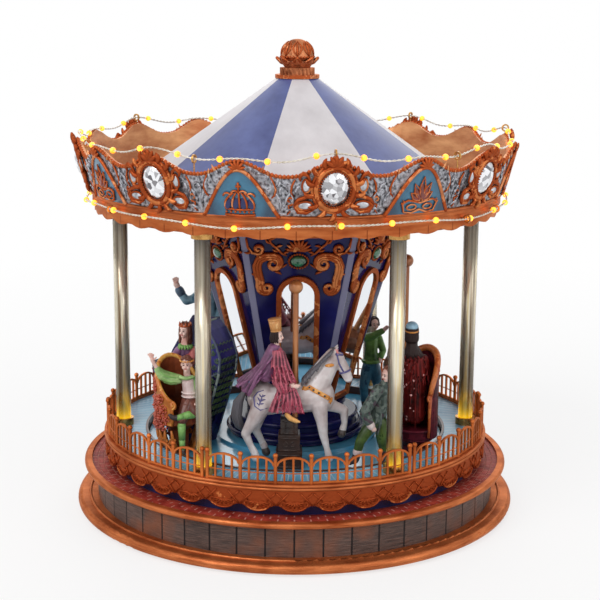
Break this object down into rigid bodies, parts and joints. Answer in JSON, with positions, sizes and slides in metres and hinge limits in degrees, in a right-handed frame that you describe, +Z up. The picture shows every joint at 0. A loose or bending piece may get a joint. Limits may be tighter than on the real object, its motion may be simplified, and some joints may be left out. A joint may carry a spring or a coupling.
{
  "type": "carousel music box",
  "caption": "Round musical carousel: riders on a motor-driven turntable round a mirrored column, under a jewelled canopy on clear pillars, with a conical roof and fairy lights.",
  "frame": {"origin": "centre of the underside, on the plane the rubber feet stand on", "axes": "+Z up, front towards -Y, +X to the viewer's right"},
  "size_m": [0.24, 0.24, 0.2509],
  "materials": {
    "copper_trim": "copper metallic paint over cast resin",
    "fence_copper": "copper metallic paint over cast metal",
    "plank_paint": "weathered dark paint with copper patches",
    "brick_paint": "matt brick red with pale joints",
    "drum_blue": "gloss midnight blue",
    "deck_blue": "satin light blue with pale board lines",
    "kerb_brown": "satin dark brown",
    "pillar_clear": "clear acrylic tube with gold bands",
    "rod_brass": "polished brass",
    "column_navy": "gloss navy",
    "mirror_glass": "silvered mirror",
    "cabochon_green": "polished green in a beaded rim",
    "jewel_clear": "clear faceted jewel",
    "emblem_teal": "teal enamel paint",
    "roof_white": "satin white",
    "roof_blue": "satin slate blue",
    "wire_clear": "pale twisted pair in clear cover",
    "bulb_warm": "clear resin bead lit warm white",
    "table_blue": "high gloss light blue",
    "gear_nylon": "natural nylon",
    "post_steel": "plated steel",
    "speaker_black": "black paint",
    "board_green": "solder-masked board",
    "control_black": "fine-textured black",
    "foot_rubber": "matt rubber",
    "horse_white": "painted resin, white with warm shading",
    "stand_brown": "painted resin, dark brown and copper",
    "rider_mauve": "painted resin, mauve and magenta",
    "page_green": "painted resin, green and brown",
    "chair_gold": "painted resin, gold with red roses",
    "lady_purple": "painted resin, purple",
    "sleigh_navy": "painted resin, navy with peacock eyes",
    "coat_blue": "painted resin, steel blue",
    "stroller_green": "painted resin, greens",
    "throne_burgundy": "painted resin, burgundy with orange rim",
    "robe_burgundy": "painted resin, burgundy with pale stars"
  },
  "bodies": {
    "base": {"plinth": "copper_trim", "base_plate": "control_black", "rubber_feet": "foot_rubber", "base_screws": "post_steel", "plank_wall": "plank_paint", "walkway_lip": "copper_trim", "brick_walkway": "brick_paint", "drum_wall": "drum_blue", "deck_skirt": "copper_trim", "deck_moulding": "copper_trim", "deck": "deck_blue", "deck_kerb": "kerb_brown", "fence_panels": "fence_copper", "pillar_tubes": "pillar_clear", "pillar_tie_rods": "rod_brass", "pillar_collars": "rod_brass", "centre_post": "post_steel", "column_foot": "column_navy", "column_body": "column_navy", "mirror_frames": "copper_trim", "column_mirrors": "mirror_glass", "column_scrolls": "copper_trim", "column_cabochons": "cabochon_green", "ceiling_panel": "copper_trim", "valance": "copper_trim", "canopy_band": "copper_trim", "cornice": "copper_trim", "medallion_frames": "copper_trim", "medallion_jewels": "jewel_clear", "emblem_fields": "emblem_teal", "emblem_reliefs": "copper_trim", "roof_white_gores": "roof_white", "roof_blue_gores": "roof_blue", "finial_base": "copper_trim", "finial_cup": "copper_trim", "finial_egg": "copper_trim", "upper_light_wire": "wire_clear", "lower_light_wire": "wire_clear", "light_bulbs": "bulb_warm", "screw_eyes": "rod_brass", "gearmotor": "post_steel", "loudspeaker": "speaker_black", "music_board": "board_green", "power_inlet": "control_black"},
    "turntable": {"turntable": "table_blue", "ring_gear": "gear_nylon", "horses": "horse_white", "horse_poles": "stand_brown", "horse_rider": "rider_mauve", "page": "page_green", "rose_chair": "chair_gold", "crowned_lady": "lady_purple", "sleighs": "sleigh_navy", "waving_man": "coat_blue", "strolling_men": "stroller_green", "throne": "throne_burgundy", "seated_lady": "robe_burgundy"},
    "pinion": {"drive_pinion": "gear_nylon"},
    "switch": {"power_switch": "control_black"},
    "knob": {"volume_knob": "control_black"}
  },
  "joints": [
    {"name": "table_spin", "type": "hinge", "parent": "base", "child": "turntable", "pos_m": [0, 0, 0.037], "axis": [0, 0, 1], "continuous": true},
    {"name": "pinion_spin", "type": "hinge", "parent": "base", "child": "pinion", "pos_m": [0.04355, 0.0519, 0.0325], "axis": [0, 0, 1], "continuous": true},
    {"name": "switch_slide", "type": "slide", "parent": "base", "child": "switch", "axis": [-0.9563, 0.2924, 0], "range_m": [0, 0.003]},
    {"name": "volume_turn", "type": "hinge", "parent": "base", "child": "knob", "pos_m": [-0.03368, 0.10366, 0.01425], "axis": [-0.309, 0.9511, 0], "range_deg": [0, 270]}
  ],
  "couplings": [
    {"joint": "pinion_spin", "follows": "table_spin", "ratio": -8}
  ]
}
